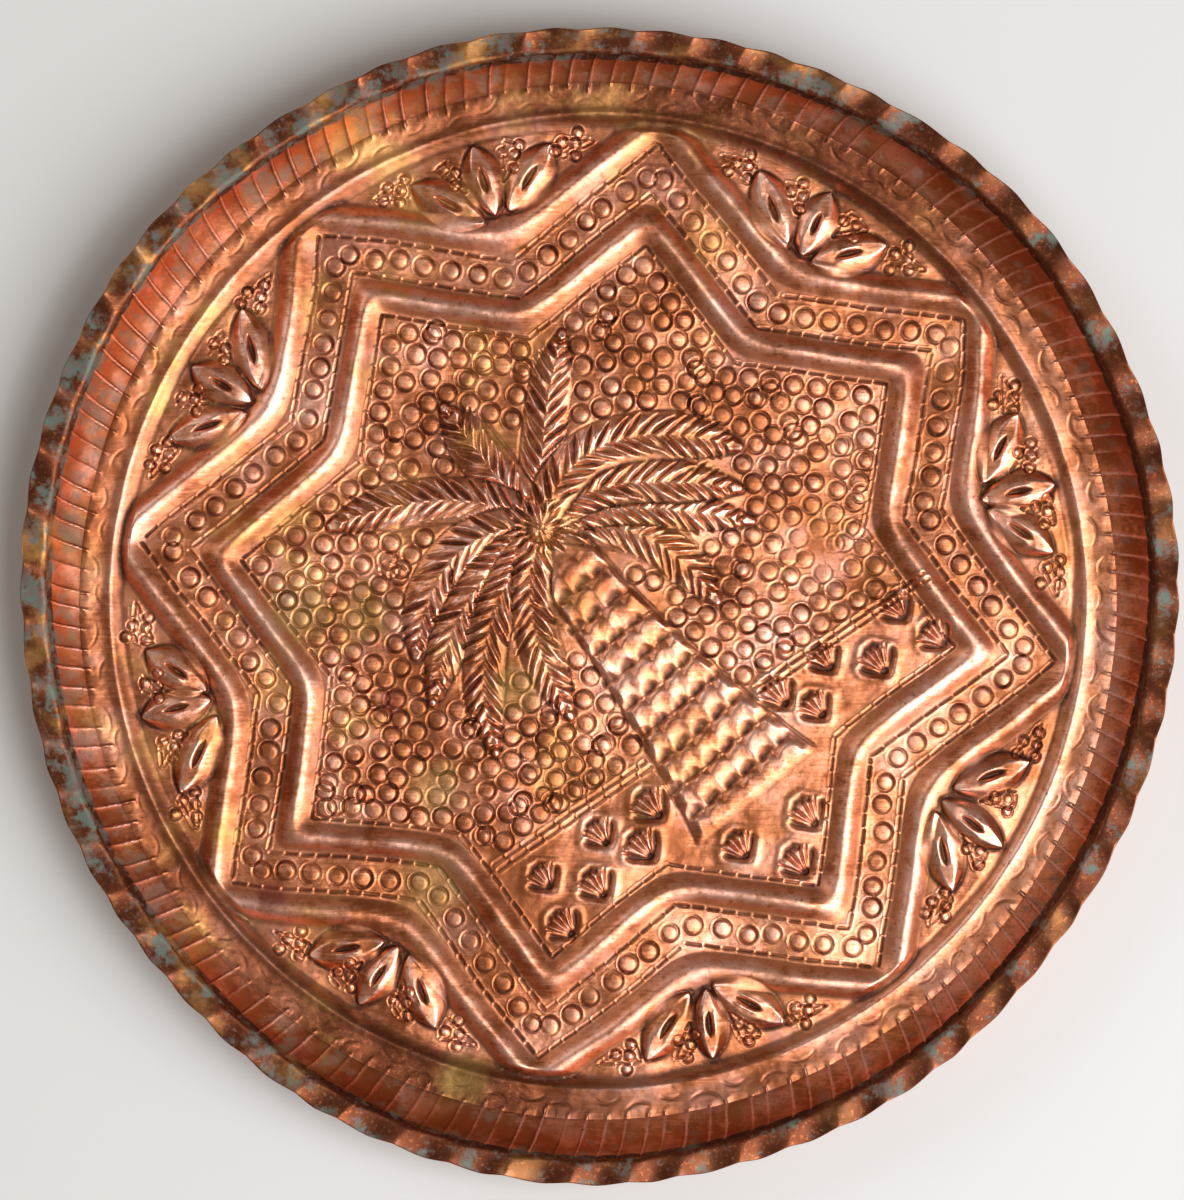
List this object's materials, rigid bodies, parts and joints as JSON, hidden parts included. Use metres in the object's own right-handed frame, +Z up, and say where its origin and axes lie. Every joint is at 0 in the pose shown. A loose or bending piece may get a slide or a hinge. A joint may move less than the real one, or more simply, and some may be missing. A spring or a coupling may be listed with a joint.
{
  "type": "tray",
  "caption": "Round raised copper tray: chased floor with an eight-point star and a palm, step, plain cove, fluted wall and a folded, crimped rim.",
  "frame": {"origin": "centre of the flat underside that the tray stands on", "axes": "+Z up out of the tray's floor, square to it; +Y towards the top of the palm picture; +X to its right"},
  "size_m": [0.4212, 0.4212, 0.0309],
  "materials": {
    "chased_floor": "bright pinkish copper, hand chased, dark in the punched lines, green-yellow bloom in places",
    "star_ridges": "bright rubbed copper crests with fine hammer and file marks",
    "burnished_cove": "smooth burnished copper with faint scratches and punch marks",
    "fluted_wall": "dark orange-brown tarnished copper, bright on the creases, grey-green spots",
    "crimped_rim": "red-brown tarnished copper with verdigris patches and a bright worn edge"
  },
  "bodies": {
    "root": {"palm_panel": "chased_floor", "inner_star_ridge": "star_ridges", "ring_punched_band": "chased_floor", "outer_star_ridge": "star_ridges", "leaf_panel_1": "chased_floor", "leaf_panel_2": "chased_floor", "leaf_panel_3": "chased_floor", "leaf_panel_4": "chased_floor", "leaf_panel_5": "chased_floor", "leaf_panel_6": "chased_floor", "leaf_panel_7": "chased_floor", "leaf_panel_8": "chased_floor", "floor_step": "burnished_cove", "cove": "burnished_cove", "fluted_wall": "fluted_wall", "crimped_rim": "crimped_rim"}
  },
  "joints": []
}
